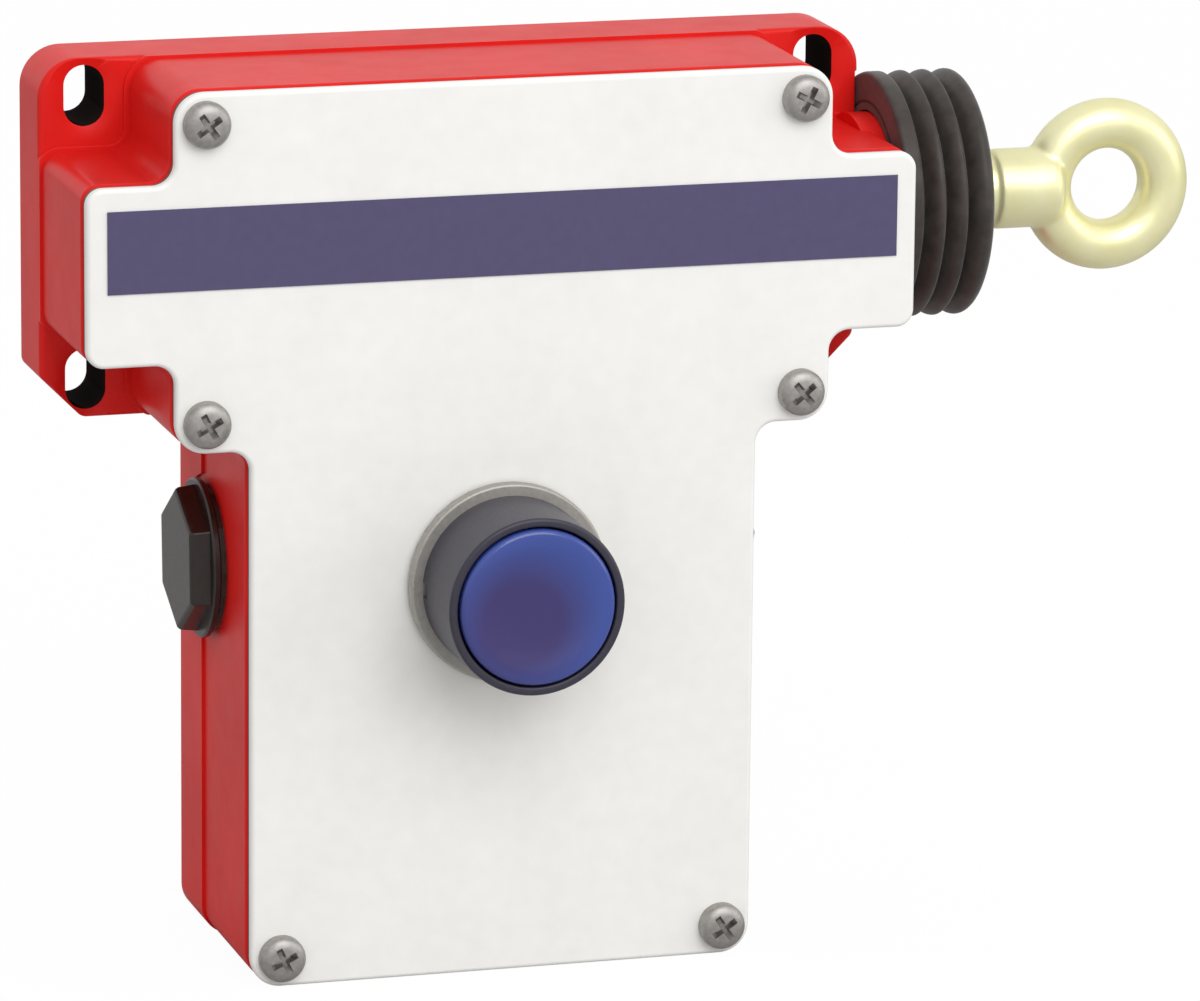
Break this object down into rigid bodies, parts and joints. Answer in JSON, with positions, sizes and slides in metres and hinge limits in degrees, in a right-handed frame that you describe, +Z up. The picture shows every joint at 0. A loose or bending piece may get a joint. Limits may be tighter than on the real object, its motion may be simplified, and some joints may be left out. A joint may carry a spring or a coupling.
{
  "type": "rope pull switch",
  "caption": "Emergency stop rope pull switch: red cast housing, flat cover with a blue reset button, ribbed bellows and a pull eye.",
  "frame": {"origin": "on the mounting plane, at the centre of the four fixing slots", "axes": "+X along the rope, out of the eye; +Y into the wall; +Z up when the cover is upright"},
  "size_m": [0.2042, 0.0702, 0.1554],
  "materials": {
    "red_paint": "gloss red stoved paint on a die casting",
    "white_paint": "satin off-white paint",
    "band": "flat violet-blue film, bare",
    "black_rubber": "satin black moulded rubber",
    "black_plastic": "moulded black plastic",
    "dark_plastic": "moulded dark grey plastic",
    "blue_plastic": "gloss translucent blue plastic",
    "steel": "zinc-plated steel",
    "yellow_zinc": "yellow passivated zinc on forged steel",
    "bronze": "sintered bronze",
    "brass": "turned brass",
    "nickel": "satin grey metal",
    "ivory_plastic": "ivory thermoset plastic"
  },
  "bodies": {
    "root": {"housing": "red_paint", "cover_gasket": "black_rubber", "cover_plate": "white_paint", "cover_band": "band", "cover_screw_1": "steel", "cover_screw_2": "steel", "cover_screw_3": "steel", "cover_screw_4": "steel", "cover_screw_5": "steel", "cover_screw_6": "steel", "entry_plug_left": "black_plastic", "entry_plug_right": "black_plastic", "entry_seal_left": "black_rubber", "entry_seal_right": "black_rubber", "bellows": "black_rubber", "guide_bush": "bronze", "main_spring": "steel", "spring_bracket": "steel", "spring_bracket_screw_upper": "steel", "spring_bracket_screw_lower": "steel", "lever_pin": "steel", "latch_bracket": "steel", "latch_bracket_screw_left": "steel", "latch_bracket_screw_right": "steel", "latch_pin": "steel", "mounting_plate": "steel", "plate_screw_left": "steel", "plate_screw_right": "steel", "contact_block_left": "ivory_plastic", "contact_block_right": "ivory_plastic", "terminal_screw_left_1": "brass", "terminal_screw_left_2": "brass", "terminal_screw_right_1": "brass", "terminal_screw_right_2": "brass", "earth_clamp": "brass", "earth_screw": "brass", "button_seal": "black_rubber", "button_ring": "nickel", "button_sleeve": "dark_plastic", "button_nut": "nickel", "reset_spring": "steel"},
    "pull_line": {"eye_bolt": "yellow_zinc", "lock_nut": "steel", "pull_rod": "steel", "rod_cam": "steel", "cam_pin": "steel", "rod_nut": "steel", "spring_seat": "steel"},
    "lever": {"trip_lever": "steel", "lever_roller": "brass", "roller_pin": "steel"},
    "link": {"contact_link": "steel", "plunger_left": "dark_plastic", "plunger_right": "dark_plastic"},
    "reset": {"button_cap": "blue_plastic", "reset_stem": "steel", "stem_clip": "steel"},
    "latch": {"latch_lever": "brass"}
  },
  "joints": [
    {"name": "rope_pull", "type": "slide", "parent": "root", "child": "pull_line", "axis": [1, 0, 0], "range_m": [0, 0.01], "stiffness_N_per_m": 9000, "springref_m": -0.002, "deforming": ["bellows", "main_spring"]},
    {"name": "lever_turn", "type": "hinge", "parent": "root", "child": "lever", "pos_m": [0.032, -0.0225, -0.016], "axis": [0, -1, 0], "range_deg": [0, 11.2]},
    {"name": "link_drop", "type": "slide", "parent": "root", "child": "link", "axis": [0, 0, -1], "range_m": [0, 0.0063]},
    {"name": "reset_press", "type": "slide", "parent": "root", "child": "reset", "axis": [0, 1, 0], "range_m": [0, 0.004], "stiffness_N_per_m": 1500, "springref_m": -0.002, "deforming": ["reset_spring"]},
    {"name": "latch_turn", "type": "hinge", "parent": "root", "child": "latch", "pos_m": [0, -0.0189, -0.042], "axis": [1, 0, 0], "range_deg": [0, 19.5]}
  ],
  "couplings": [
    {"joint": "lever_turn", "follows": "rope_pull", "rad_per_m": 19.2},
    {"joint": "link_drop", "follows": "rope_pull", "ratio": 0.62},
    {"joint": "latch_turn", "follows": "reset_press", "rad_per_m": 83}
  ]
}
